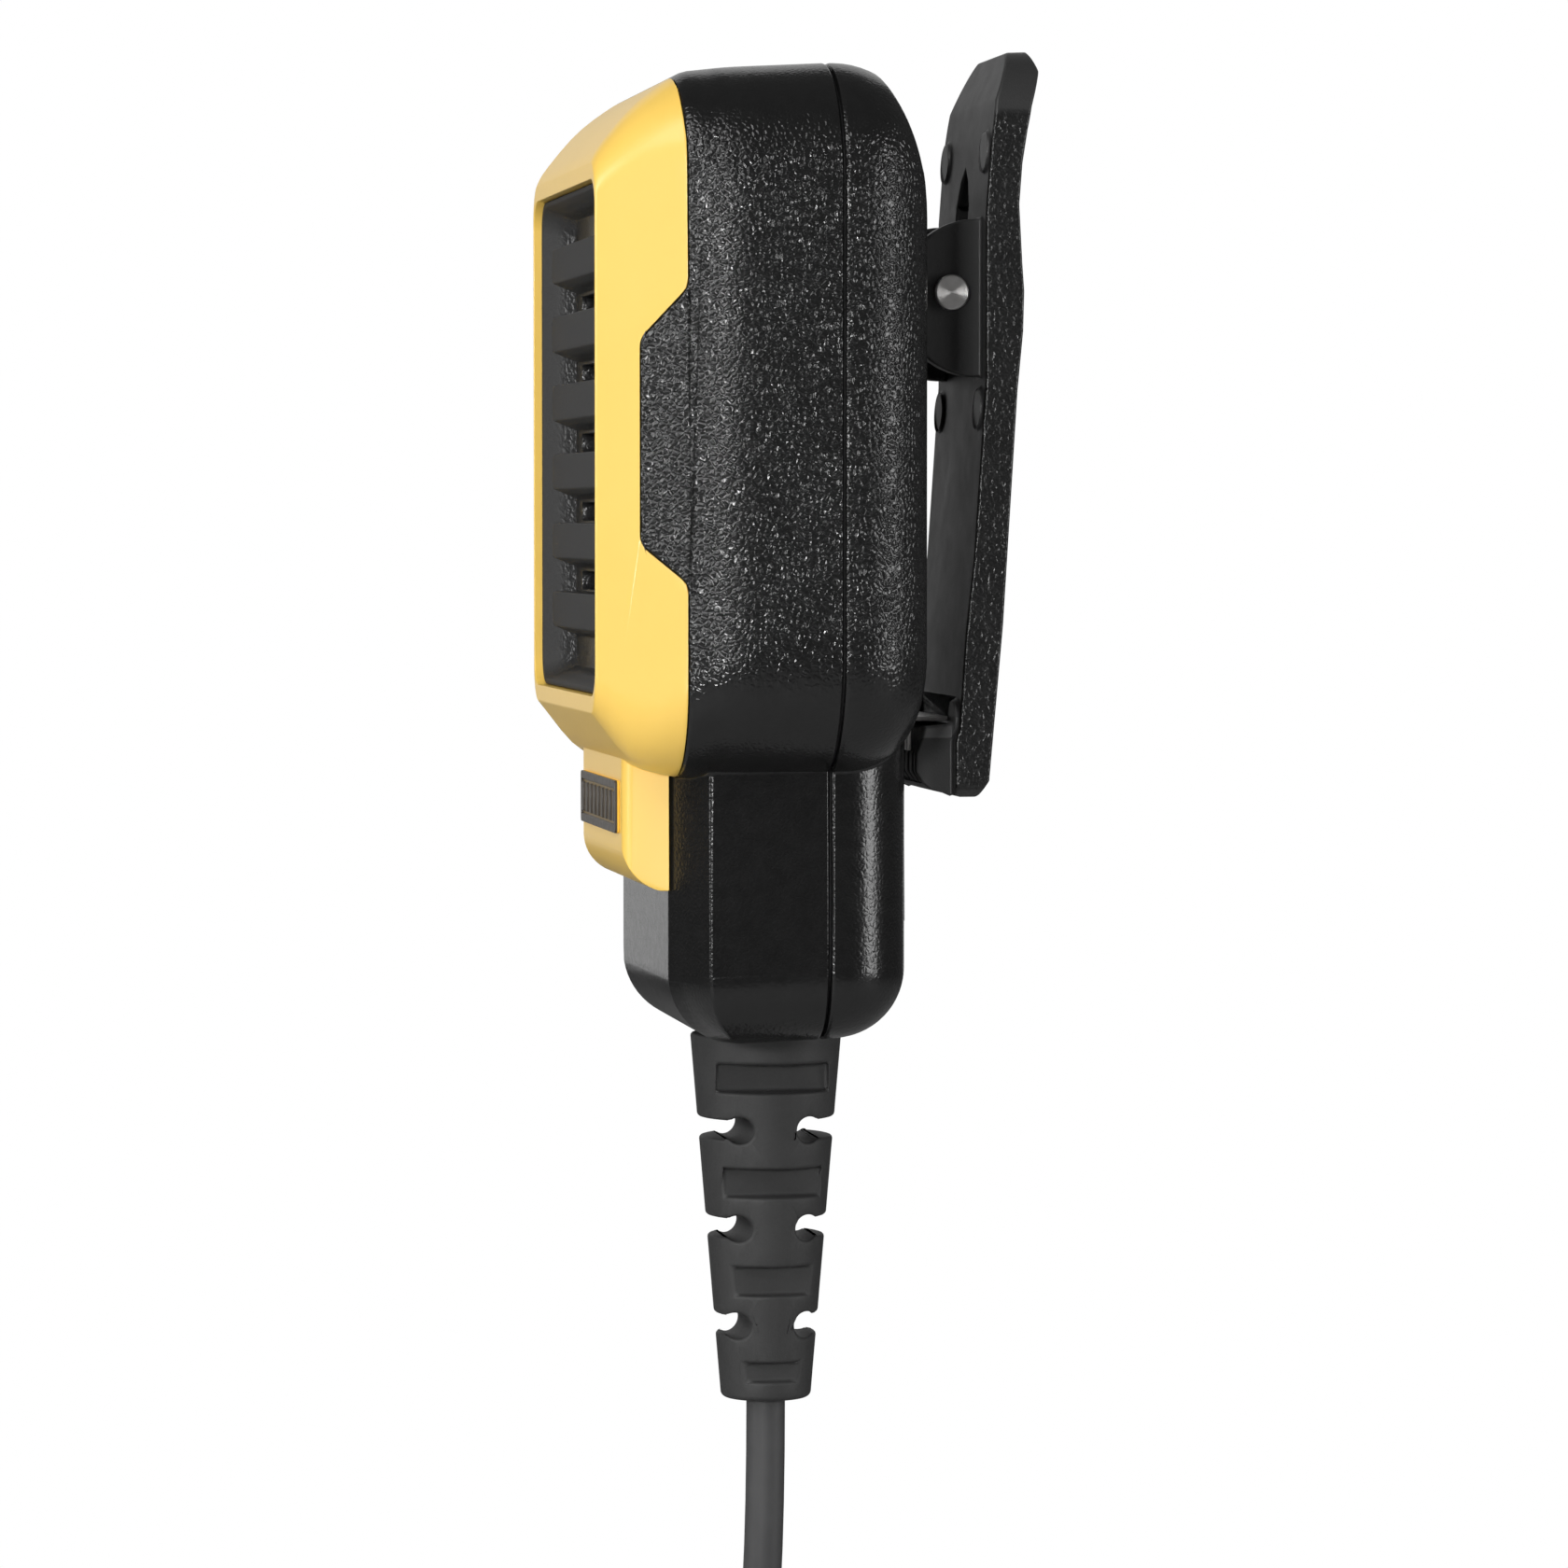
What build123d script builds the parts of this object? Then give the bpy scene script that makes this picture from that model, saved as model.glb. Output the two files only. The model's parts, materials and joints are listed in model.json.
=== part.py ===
from build123d import *
import math
import os

# Remote speaker microphone of a hand-held two-way radio, in millimetres.
# Frame: +Z up, +X to the right as the grille is seen, -Y out of the grille.
# Origin: middle of the clip jaw, on the flat back of the housing.
os.makedirs("parts", exist_ok=True)

# ---------------------------------------------------------------- driving dimensions
# Housing
body_half_w = 30.0        # half of the housing's width
body_top = 68.1           # top of the housing at the parting line
waist_z = -0.3            # underside of the wide part, where the neck starts
front_y = -32.2           # front plane of the bezel
parting_y = -9.3          # plane between front and rear shell
corner_r = 12.0           # corners of the wide part, seen from the front
rear_round = 8.5          # rounding between side walls and back
top_drop = 0.8            # fall of the top between the parting line and the bevel
top_crown = 1.0           # how far the sloping top facet bulges
ridge_soft = 1.9          # how far each side of a ridge its rounding starts
side_bevel_y = -21.6      # where the flat side wall turns into the front bevel
side_turn = 2.6           # length of the shallow facet between bevel and side wall
top_bevel_y = -23.7       # where the top turns into the front bevel
parting_gap = 0.3         # visible groove between the shells
wall = 2.0                # shell wall
seal_outside = 0.7        # from the outline to the seal between the shells
seal_w = 0.8
seal_depth = 0.7          # how deep the seal sits in the front shell

# Neck
neck_half_w = 22.0
neck_bottom = -25.9
neck_front_y = -24.1
neck_face_half_w = 16.0   # flat front face of the neck
neck_bevel_y = -20.9
neck_back_y = -0.8
neck_round = 8.0          # between its sides and its back
neck_bottom_round = 6.9
neck_tilt_deg = 2.5       # the bottom face drops this much towards the front

# Bezel and grille
open_half_w = 23.7
open_low = 7.7
open_high = 56.7
open_r = 3.0
frame_lip = 0.3           # width of the flat front face beside the opening
frame_side = 0.6          # from the opening to the ridge of the side bevel
frame_below = 2.25        # from the opening to the ridge below it
frame_above = 2.8
frame_step = 0.5          # depth of that ridge behind the front plane
bezel_wall = 1.5
bezel_side_y = -23.9      # rear edge of the bezel on the side walls
notch_y = -28.2           # rear edge of the bezel in the side notch
notch_low = 22.1
notch_high = 41.5
notch_ramp_low = 3.7      # height of the slope at the notch's lower end
notch_ramp_high = 4.8
notch_r = 2.2             # rounding of the notch's corners
seat_gap = 0.05           # between parts that are pressed or snapped together
chin_front_y = -28.4
chin_half_w = 15.0
chin_back_half_w = 16.6
chin_low = -11.2
chin_turn_z = -6.9        # where the chin's front starts to round under
rim_depth = 0.8           # grille rim below the front plane
bar_count = 6
bar_pitch = 6.9
bar_height = 4.6
bar_slope = 1.1           # height lost at the lower side of each bar's face
bar_r = 1.2               # rounding of the bars' corners
bar_front_y = -31.0
bar_end_inset = 5.3
pocket_side = 4.2         # slope of the tray's side walls, seen from the front
pocket_end = 1.9          # slope of its upper and lower wall
pocket_rim = 0.5
grille_floor_y = -28.3
baffle_y = -26.8          # front of the wall that carries the speaker
baffle_wall = 1.8
cloth_t = 0.2
badge_half_w = 12.8
badge_low = -5.8
badge_high = -0.7
badge_t = 0.45
badge_bars = 9

# Loudspeaker
speaker_r = 18.0
speaker_z = 32.0
speaker_depth = 6.5
cone_r = 15.2
magnet_r = 9.0
magnet_t = 3.2
gasket_t = 0.8

# Microphone, board and switch
mic_r = 3.0
mic_t = 2.6
mic_z = 9.0
mic_x = 0.0
board_margin = 6.0        # from the side wall's outer face to the board
board_t = 1.2
board_half_w = body_half_w - board_margin
board_low = 6.0
board_high = 60.0
board_y = -11.7           # front face of the board
switch_x = 3.6
switch_y = 3.4
switch_z = 6.0

# Push-to-talk button, in the left side wall
ptt_low = 19.0
ptt_high = 46.0
ptt_front_y = -18.9
ptt_back_y = -11.3
ptt_proud = 1.6
ptt_travel = 1.2
slide_gap = 0.15

# Case screws
screw_x = 17.5
screw_high_z = 54.5
screw_low_z = 9.5
neck_screw_x = 12.0
neck_screw_z = -15.5
screw_r = 1.25
screw_head_r = 2.5
screw_head_t = 1.6
screw_length = 11.0
boss_r = 3.2
head_depth = 1.0          # how far a screw head sits below the back

# Clip
pin_y = 4.6
pin_z = 46.6
pin_r = 1.25
pin_head_r = 1.75
pin_head_t = 0.8
run_gap = 0.05            # radial clearance of the pin in the swivel lugs
lever_half_w = 12.5
lever_top = 70.2
lever_top_r = 8.2
lever_low = -2.6
lever_jaw_y = 8.1         # outer face of the lever at the jaw
ear_r = 7.7
ear_y = 7.2
ear_outer_x = 10.3
ear_t = 2.3
ear_near_y = 1.7          # ears stop here, clear of the back
jaw_tip_y = 0.5
ejector_r = 2.0           # round marks left by the mould on the lever's inner face
ejector_proud = 0.2
ejector_marks = ((8.05, 60.3), (7.45, 35.3), (4.95, 4.9))
plate_t = 0.5
plate_half_w = 9.0
swivel_r = 7.5
swivel_t = 1.2
swivel_gap = 0.2
stud_r = 4.0
lug_outer_x = 7.7
lug_t = 2.4
lug_r = 2.8
washer_r = 6.5
washer_t = 0.8
spring_wire_r = 0.4
spring_mean_r = 2.1
spring_turns = 5

# Strain relief and cable
cable_d = 3.9
cable_y = -12.05
boot_top_z = -26.3
boot_low_z = -62.6
boot_top_r = 7.5
boot_low_r = 4.45
boot_neck_r = 5.3
boot_neck_gap = 0.1
boot_flange_r = 7.2
boot_flange_t = 2.0
boot_web = 2.55           # half of the web left between two cuts
boot_side_cuts = (-35.55, -45.35, -55.1)
boot_cut_h = 1.9
boot_cut_root_r = 1.3
boot_face_cuts = (-30.4, -40.8, -50.6, -59.7)
boot_face_cut_h = 2.8
clamp_z = -15.0
clamp_w = 12.0
clamp_h = 5.0
clamp_t = 2.0

# Free cable: straight out of the boot, into a coil of turns side by side, then the plug
coil_r = 23.0             # middle of the turns
coil_entry_deg = 40.0     # the lead joins the first turn this far above 9 o'clock
coil_turns = 5 + coil_entry_deg / 360
coil_z = -135.4
coil_gap = 0.05
tie_w = 7.0
tie_t = 1.2
upper_route = [
    (0.0, cable_y, boot_low_z),
    (0.0, cable_y, -80.0),
    (-2.2, -13.6, -97.5),
    (-8.4, -19.6, -110.6),
    (-17.6, -21.9, -120.6),
]
lower_route = [
    (-23.0, -2.15, -135.4),
    (-22.8, -1.7, -146.4),
    (-23.2, -2.1, -157.8),
    (-23.0, -1.8, -168.6),
]
plug_sleeve_r = 3.6
plug_sleeve_tip_r = 2.7
plug_sleeve_l = 11.0
plug_w = 13.0
plug_h = 24.0
plug_d = 10.0
pin_large_r = 1.75
pin_large_l = 15.0
pin_small_r = 1.25
pin_small_l = 12.0
pin_spacing = 11.2
pin_root = 4.0            # length moulded into the plug
pin_root_step = 0.3       # the moulded root is this much slimmer

FAR = 400.0               # larger than anything here, for cutting blocks


# ---------------------------------------------------------------- small helpers
def at_y(y):
    """Plane across the object at depth y: x to the right, z up, facing the front."""
    return Plane(origin=(0, y, 0), x_dir=(1, 0, 0), z_dir=(0, -1, 0))


def slab(sketch, y_front, y_back):
    """A flat outline in x and z, given thickness between two depths."""
    return extrude(at_y(y_back) * sketch, y_back - y_front)


def side_prism(points, x_low, x_high):
    """An outline in y and z, given width between two x values."""
    face = Plane.YZ.offset(x_low) * make_face(Polyline(*points, close=True))
    return extrude(face, x_high - x_low)


def box_between(low, high):
    size = [b - a for a, b in zip(low, high)]
    middle = [(a + b) / 2 for a, b in zip(low, high)]
    return Pos(*middle) * Box(*size)


def rod_y(x, z, r, y_front, y_back):
    return Pos(x, (y_front + y_back) / 2, z) * Rot(90, 0, 0) * Cylinder(r, y_back - y_front)


def rod_x(y, z, r, x_low, x_high):
    return Pos((x_low + x_high) / 2, y, z) * Rot(0, 90, 0) * Cylinder(r, x_high - x_low)


def rod_z(x, y, r, z_low, z_high):
    return Pos(x, y, (z_low + z_high) / 2) * Cylinder(r, z_high - z_low)


def front_of(y):
    return box_between((-FAR, -FAR, -FAR), (FAR, y, FAR))


def behind(y):
    return box_between((-FAR, y, -FAR), (FAR, FAR, FAR))


def save(name, shape):
    export_step(shape, f"parts/{name}.step")


# ---------------------------------------------------------------- housing outline
def rounded(half_w, low, high, r):
    return Pos(0, (low + high) / 2) * RectangleRounded(2 * half_w, high - low, r)


def stations():
    """Cross-sections from the bezel's front plane to the parting line.

    Each is depth, half width, low, high, corner radius, and how much of an inset
    moves it back and in.
    """
    frame_y = front_y + frame_step
    frame_w = open_half_w + frame_side
    frame_low = open_low - frame_below
    frame_high = open_high + frame_above
    bevel_high = body_top - 1.1
    bevel_w = body_half_w - 0.7
    bevel_top = body_top - top_drop
    run = (top_bevel_y - frame_y) / (side_bevel_y - frame_y)
    top_bevel_w = frame_w + run * (bevel_w - frame_w)
    chin_run = (chin_front_y + 0.2 - frame_y) / (top_bevel_y - frame_y)
    facet_w = frame_w + chin_run * (top_bevel_w - frame_w)
    facet_top = frame_high + chin_run * (bevel_high - frame_high) + top_crown
    return [
        (front_y, open_half_w + frame_lip, open_low - 1.6, open_high + 1.6, 3.4, 1.0, 0.78),
        (frame_y, frame_w, frame_low, frame_high, 4.0, 1.0, 0.78),
        (chin_front_y + 0.2, facet_w, waist_z + 1.2, facet_top, 6.0, 0.65, 0.78),
        (top_bevel_y, top_bevel_w, waist_z + 0.1, bevel_high, 9.0, 0.65, 0.78),
        (side_bevel_y, bevel_w, waist_z, bevel_top, corner_r - 0.6, 0.4, 0.9),
        (side_bevel_y + side_turn, body_half_w, waist_z, bevel_top + 0.3, corner_r, 0.0, 1.0),
        (parting_y, body_half_w, waist_z, body_top, corner_r, 0.0, 1.0),
    ]


def softened(rows):
    """The same cross-sections with each ridge between them rounded by a parabola."""
    def towards(row, other):
        run = math.hypot(other[0] - row[0], other[1] - row[1])
        share = min(ridge_soft / run, 0.45)
        return [a + share * (b - a) for a, b in zip(row, other)]

    smooth = [rows[0]]
    for before, row, after in zip(rows, rows[1:], rows[2:]):
        start, end = towards(row, before), towards(row, after)
        for step in range(4):
            t = step / 3
            smooth.append([
                (1 - t) ** 2 * a + 2 * t * (1 - t) * b + t ** 2 * c
                for a, b, c in zip(start, row, end)
            ])
    return smooth + [rows[-1]]


def wide_part(inset):
    """The wide part of the housing, all its faces moved in by inset."""
    faces = []
    rows = stations() if inset else softened(stations())
    for y, half_w, low, high, r, back, aside in rows:
        move = aside * inset
        outline = rounded(half_w - move, low + move, high - move, max(r - move, 0.6))
        faces.append(at_y(y + back * inset) * outline)
    front = loft(faces, ruled=True)
    outline = rounded(
        body_half_w - inset, waist_z + inset, body_top - inset, max(corner_r - inset, 0.6)
    )
    rear = slab(outline, parting_y, -inset)
    edges = rear.faces().sort_by(Axis.Y)[-1].edges()
    rear = fillet(edges, rear_round - inset)
    return (front + rear) & back_slope(inset)


def back_slope(inset):
    """Side view that the wide part stays within: the back leans in towards the top."""
    low, lean_z = waist_z - 20, body_top - 17
    profile = make_face(
        Polyline((-FAR, low), (-inset, low), (-inset, lean_z))
        + ThreePointArc(
            (-inset, lean_z), (-1.8 - inset, body_top - 7.4), (-5.2 - inset, body_top)
        )
        + Polyline((-5.2 - inset, body_top), (-FAR, body_top + 60), (-FAR, low))
    )
    return extrude(Plane.YZ.offset(-FAR) * profile, 2 * FAR)


def neck(inset):
    """The narrow part below, with bevelled front corners."""
    outline = make_face(Polyline(
        (-neck_face_half_w, neck_front_y), (neck_face_half_w, neck_front_y),
        (neck_half_w, neck_bevel_y), (neck_half_w, neck_back_y),
        (-neck_half_w, neck_back_y), (-neck_half_w, neck_bevel_y), close=True,
    ))
    outline = fillet(outline.vertices().sort_by(Axis.Y)[-2:], neck_round)
    if inset:
        outline = offset(outline, amount=-inset, kind=Kind.INTERSECTION)
    low = neck_bottom + inset
    solid = extrude(Plane.XY.offset(low - 3) * outline, waist_z + corner_r - low + 3)
    above = box_between((-FAR, -FAR, 0), (FAR, FAR, FAR))
    solid &= Pos(0, cable_y, low) * Rot(neck_tilt_deg, 0, 0) * above
    bottom = solid.faces().sort_by(Axis.Z)[0].edges()
    return fillet(bottom, neck_bottom_round - inset)


def bezel_zone(gap):
    """Everything in front of the bezel's rear edge, with the notch in each side."""
    edge = bezel_side_y + gap
    notch = notch_y + gap
    face = make_face(Polyline(
        (front_y - 5, chin_low - 5), (edge, chin_low - 5), (edge, notch_low - notch_ramp_low),
        (notch, notch_low), (notch, notch_high), (edge, notch_high + notch_ramp_high),
        (edge - 0.1, body_top - 8), (edge - 0.9, body_top + 4), (front_y - 5, body_top + 4),
        close=True,
    ))
    around_notch = [
        corner for corner in face.vertices()
        if notch_low - notch_ramp_low - 1 < corner.Y < notch_high + notch_ramp_high + 1
    ]
    face = fillet(around_notch, notch_r)
    return extrude(Plane.YZ.offset(-FAR) * face, 2 * FAR)


outer = wide_part(0)
neck_outer = neck(0)
under_bezel = wide_part(bezel_wall + seat_gap)
cavity = wide_part(bezel_wall + seat_gap + 1.5) & behind(baffle_y + baffle_wall)
neck_cavity = neck(wall)
front_half = front_of(parting_y - parting_gap / 2)
rear_half = behind(parting_y + parting_gap / 2)


# ---------------------------------------------------------------- bezel and grille
def chin():
    """Block under the grille that carries the badge, tapered to the sides."""
    tip_y = neck_front_y - 0.8
    plan = make_face(Polyline(
        (-chin_half_w, chin_front_y), (chin_half_w, chin_front_y),
        (chin_back_half_w, neck_front_y), (-chin_back_half_w, neck_front_y), close=True,
    ))
    plan = fillet(plan.vertices().sort_by(Axis.Y)[:2], 1.6)
    block = extrude(Plane.XY.offset(chin_low) * plan, open_low - chin_low - 4.0)
    side = make_face(
        ThreePointArc(
            (chin_front_y, chin_turn_z), (chin_front_y + 0.9, chin_turn_z - 2.6), (tip_y, chin_low)
        )
        + Polyline(
            (tip_y, chin_low), (neck_front_y, chin_low), (neck_front_y, FAR),
            (chin_front_y, FAR), (chin_front_y, chin_turn_z),
        )
    )
    return block & extrude(Plane.YZ.offset(-FAR) * side, 2 * FAR)


def bezel():
    window = slab(rounded(open_half_w, open_low, open_high, open_r), front_y - 5, front_y + 12)
    cap = wide_part(0) & bezel_zone(0)
    body = cap - under_bezel + chin()
    return body - window - neck_outer


def grille_insert():
    """Tray that fills the bezel's opening, with bars across a slotted floor."""
    rim_y = front_y + rim_depth
    half_w, low, high = open_half_w - 0.1, open_low + 0.1, open_high - 0.1
    tray = slab(rounded(half_w, low, high, open_r - 0.1), rim_y, baffle_y - cloth_t)
    pocket_low = rounded(half_w - pocket_side, low + pocket_end, high - pocket_end, open_r - 1.2)
    pocket_high = rounded(half_w - pocket_rim, low + pocket_rim, high - pocket_rim, open_r - 0.4)
    tray -= loft([at_y(grille_floor_y) * pocket_low, at_y(rim_y) * pocket_high], ruled=True)
    middle = (open_low + open_high) / 2
    bar_half_w = half_w - bar_end_inset
    for i in range(bar_count):
        z = middle + (i - (bar_count - 1) / 2) * bar_pitch
        low_z, high_z = z - bar_height / 2, z + bar_height / 2
        face = at_y(bar_front_y) * rounded(bar_half_w, low_z + bar_slope, high_z, bar_r)
        foot = at_y(grille_floor_y + 0.2) * rounded(bar_half_w + 1.2, low_z, high_z, bar_r)
        tray += loft([foot, face], ruled=True)
    for i in range(bar_count - 1):
        z = middle + (i - (bar_count - 2) / 2) * bar_pitch
        slot = rounded(bar_half_w - 2.5, z - 0.9, z + 0.9, 0.6)
        tray -= slab(slot, grille_floor_y - 0.5, baffle_y + 1)
    return tray


def badge_plate():
    """Generic badge: a back plate, a rail above and below, and plain upright bars."""
    front = chin_front_y - badge_t
    plate = slab(rounded(badge_half_w, badge_low, badge_high, 0.4), front, chin_front_y)
    rail = 0.8
    inner = slab(
        rounded(badge_half_w - 0.6, badge_low + rail, badge_high - rail, 0.2),
        front - 1, chin_front_y - badge_t / 2,
    )
    plate -= inner
    pitch = 2 * (badge_half_w - 1.4) / (badge_bars - 1)
    for i in range(badge_bars):
        x = (i - (badge_bars - 1) / 2) * pitch
        plate += box_between(
            (x - 0.55, front, badge_low + rail + 0.3),
            (x + 0.55, chin_front_y - badge_t / 4, badge_high - rail - 0.3),
        )
    return plate


# ---------------------------------------------------------------- shells
def boot_hole(gap):
    return rod_z(0, cable_y, boot_neck_r + gap, boot_top_z - 5, boot_top_z + 15)


def screw_places():
    wide = [(x, z) for x in (-screw_x, screw_x) for z in (screw_low_z, screw_high_z)]
    narrow = [(x, neck_screw_z) for x in (-neck_screw_x, neck_screw_x)]
    return wide + narrow


def ptt_window(gap):
    outline = at_x(-body_half_w - 3) * Pos(
        (ptt_front_y + ptt_back_y) / 2, (ptt_low + ptt_high) / 2
    ) * RectangleRounded(
        ptt_back_y - ptt_front_y + 2 * gap, ptt_high - ptt_low + 2 * gap, 2.5 + gap
    )
    return extrude(outline, 9)


def at_x(x):
    """Plane at one x: y to the right, z up."""
    return Plane.YZ.offset(x)


def front_shell():
    solid = (outer - bezel_zone(seat_gap)) + under_bezel + neck_outer
    solid &= front_half
    solid -= cavity
    solid -= neck_cavity & behind(neck_front_y + wall)
    pocket = slab(
        rounded(open_half_w + seat_gap, open_low - seat_gap, open_high + seat_gap, open_r),
        front_y - 5, baffle_y,
    )
    solid -= pocket
    solid -= chin() & front_of(neck_front_y)
    solid -= rod_y(0, speaker_z, cone_r, baffle_y - 1, baffle_y + 5)
    solid -= rod_y(mic_x, mic_z, 1.0, baffle_y - 1, baffle_y + 5)
    boss_front = baffle_y + baffle_wall / 2
    for x, z in screw_places():
        start = boss_front if z > 0 else neck_front_y + wall / 2
        boss = rod_y(x, z, boss_r, start, parting_y - parting_gap / 2)
        solid += boss & front_half & (under_bezel + neck_outer)
    for x, z in screw_places():
        solid -= rod_y(x, z, screw_r + seat_gap, parting_y - screw_length, parting_y + 1)
    solid -= boot_hole(boot_neck_gap)
    solid -= flange_pocket()
    solid -= seal_ring(parting_y + 1)
    return solid - ptt_window(slide_gap)


def rear_shell():
    solid = (outer + neck_outer) & rear_half
    solid -= wide_part(wall) + neck_cavity
    inner_y = -1.0
    for x, z in screw_places():
        solid += rod_y(x, z, boss_r, parting_y + parting_gap / 2, inner_y)
    for x, z in screw_places():
        solid -= rod_y(x, z, screw_r + 0.25, parting_y - 1, 1)
        solid -= rod_y(x, z, screw_head_r + 0.3, screw_seat_y(), 1)
    solid += rod_y(0, pin_z, washer_r + 1.2, -wall - 0.6, -wall / 2)
    solid -= rod_y(0, pin_z, stud_r + run_gap, -wall - 2, 1)
    solid -= boot_hole(boot_neck_gap)
    return solid - flange_pocket()


def screw_seat_y():
    """Depth of the counterbore's floor, under a screw head."""
    return -head_depth - screw_head_t


def flange_pocket():
    gap = boot_neck_gap
    top = boot_flange_top() + gap
    return rod_z(0, cable_y, boot_flange_r + gap, neck_bottom + wall - gap, top)


def boot_flange_top():
    return neck_bottom + wall + boot_flange_t


def joint_outline(inset):
    """Outline of the wide part and the neck together, in x and z."""
    wide = rounded(body_half_w - inset, waist_z + inset, body_top - inset, corner_r - inset)
    low = neck_bottom + inset
    narrow = rounded(neck_half_w - inset, low, waist_z + 2 * corner_r, neck_round - inset)
    return wide + narrow


def seal_ring(y_back):
    """The seal's ring, left open where the strain relief passes through."""
    ring = joint_outline(seal_outside) - joint_outline(seal_outside + seal_w)
    ring = slab(ring, parting_y - parting_gap / 2 - seal_depth, y_back)
    half_w = boot_flange_r + 1.8
    return ring - box_between((-half_w, -FAR, neck_bottom - 1), (half_w, FAR, neck_bottom + 6))


def housing_seal():
    return seal_ring(parting_y + parting_gap / 2)


def case_screw(x, z):
    """Pan-head screw with a cross recess, driven from the back."""
    seat = screw_seat_y()
    head = rod_y(x, z, screw_head_r, seat, seat + screw_head_t)
    head = fillet(head.edges().group_by(Axis.Y)[-1], 0.5)
    shank = rod_y(x, z, screw_r, parting_y - screw_length + 0.6, seat)
    recess_y = (seat + screw_head_t - 0.8, seat + screw_head_t + 1)
    for half_x, half_z in ((1.5, 0.3), (0.3, 1.5)):
        head -= box_between(
            (x - half_x, recess_y[0], z - half_z), (x + half_x, recess_y[1], z + half_z)
        )
    return head + shank


# ---------------------------------------------------------------- inside
def grille_cloth():
    return slab(
        rounded(open_half_w - 0.6, open_low + 0.6, open_high - 0.6, open_r - 0.6),
        baffle_y - cloth_t, baffle_y,
    )


speaker_front = baffle_y + baffle_wall + gasket_t


def speaker_gasket():
    y = baffle_y + baffle_wall
    ring = rod_y(0, speaker_z, speaker_r, y, y + gasket_t)
    return ring - rod_y(0, speaker_z, cone_r, y, y + gasket_t)


def ring_solid(points):
    """A turned part about the speaker's axis, from radius and depth points."""
    profile = make_face(Polyline(*[(r, y) for r, y in points], close=True))
    return Pos(0, 0, speaker_z) * revolve(profile, Axis.Y)


def speaker_frame():
    back = speaker_front + speaker_depth
    return ring_solid([
        (cone_r, speaker_front), (speaker_r, speaker_front), (speaker_r, speaker_front + 1.0),
        (speaker_r - 1.6, speaker_front + 1.2), (magnet_r + 1.4, back), (magnet_r - 3, back),
        (magnet_r - 3, back - 0.8), (magnet_r + 0.9, back - 0.8),
        (speaker_r - 2.4, speaker_front + 0.8), (cone_r, speaker_front + 0.8),
    ])


def speaker_cone():
    y = speaker_front
    return ring_solid([
        (0, y + 0.6), (3.6, y + 2.0), (4.2, y + 3.2), (12.2, y + 0.9), (13.4, y + 0.1),
        (cone_r - 0.2, y + 0.5), (cone_r - 0.2, y + 0.8), (13.4, y + 0.4), (12.4, y + 1.2),
        (4.4, y + 3.6), (3.4, y + 3.6), (3.2, y + 2.3), (0, y + 0.9),
    ])


def speaker_magnet():
    y = speaker_front + speaker_depth
    return rod_y(0, speaker_z, magnet_r, y, y + magnet_t)


def mic_boot():
    y = baffle_y + baffle_wall
    cup = rod_y(mic_x, mic_z, mic_r + 1.0, y, y + mic_t + 1.0)
    cup -= rod_y(mic_x, mic_z, mic_r, y + 0.7, y + mic_t + 2)
    return cup - rod_y(mic_x, mic_z, 1.0, y - 1, y + 1)


def mic_capsule():
    y = baffle_y + baffle_wall + 0.7
    return rod_y(mic_x, mic_z, mic_r, y, y + mic_t)


def circuit_board():
    board = slab(rounded(board_half_w, board_low, board_high, 2.0), board_y, board_y + board_t)
    for x, z in screw_places():
        board -= rod_y(x, z, boss_r + 0.4, board_y - 1, board_y + 3)
    return board


def switch_left():
    """Face of the switch that the button's stem presses."""
    return -body_half_w + 3.0 + wall + ptt_travel + 0.1


def ptt_switch():
    x = switch_left()
    z = (ptt_low + ptt_high) / 2
    y = board_y - switch_y
    body = box_between(
        (x + 0.8, y, z - switch_z / 2), (x + 0.8 + switch_x, board_y, z + switch_z / 2)
    )
    return body + rod_x(y + switch_y / 2, z, 1.2, x, x + 0.9)


def ptt_button():
    """Rubber-faced key: outer pad, flange behind the wall, and a stem to the switch."""
    middle_y, middle_z = (ptt_front_y + ptt_back_y) / 2, (ptt_low + ptt_high) / 2
    pad = at_x(-body_half_w - ptt_proud) * Pos(middle_y, middle_z) * RectangleRounded(
        ptt_back_y - ptt_front_y, ptt_high - ptt_low, 2.5
    )
    inner_x = -body_half_w + 3.05 + 0.1
    pad = extrude(pad, inner_x + 0.9 + body_half_w + ptt_proud)
    pad = fillet(pad.faces().sort_by(Axis.X)[0].edges(), 0.9)
    stem_y = board_y - switch_y / 2
    stem = rod_x(stem_y, middle_z, 1.6, inner_x, switch_left() - ptt_travel)
    tabs = box_between(
        (inner_x, ptt_front_y + 2.4, ptt_low - 1.6), (inner_x + 0.9, ptt_back_y - 0.6, ptt_high + 1.6)
    )
    for k in (-3, -2, -1, 0, 1, 2, 3):
        rib_z = middle_z + 2.4 * k
        pad -= box_between(
            (-FAR, middle_y - 2.4, rib_z - 0.35),
            (-body_half_w - ptt_proud + 0.4, middle_y + 2.4, rib_z + 0.35),
        )
    return pad + stem + tabs


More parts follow.
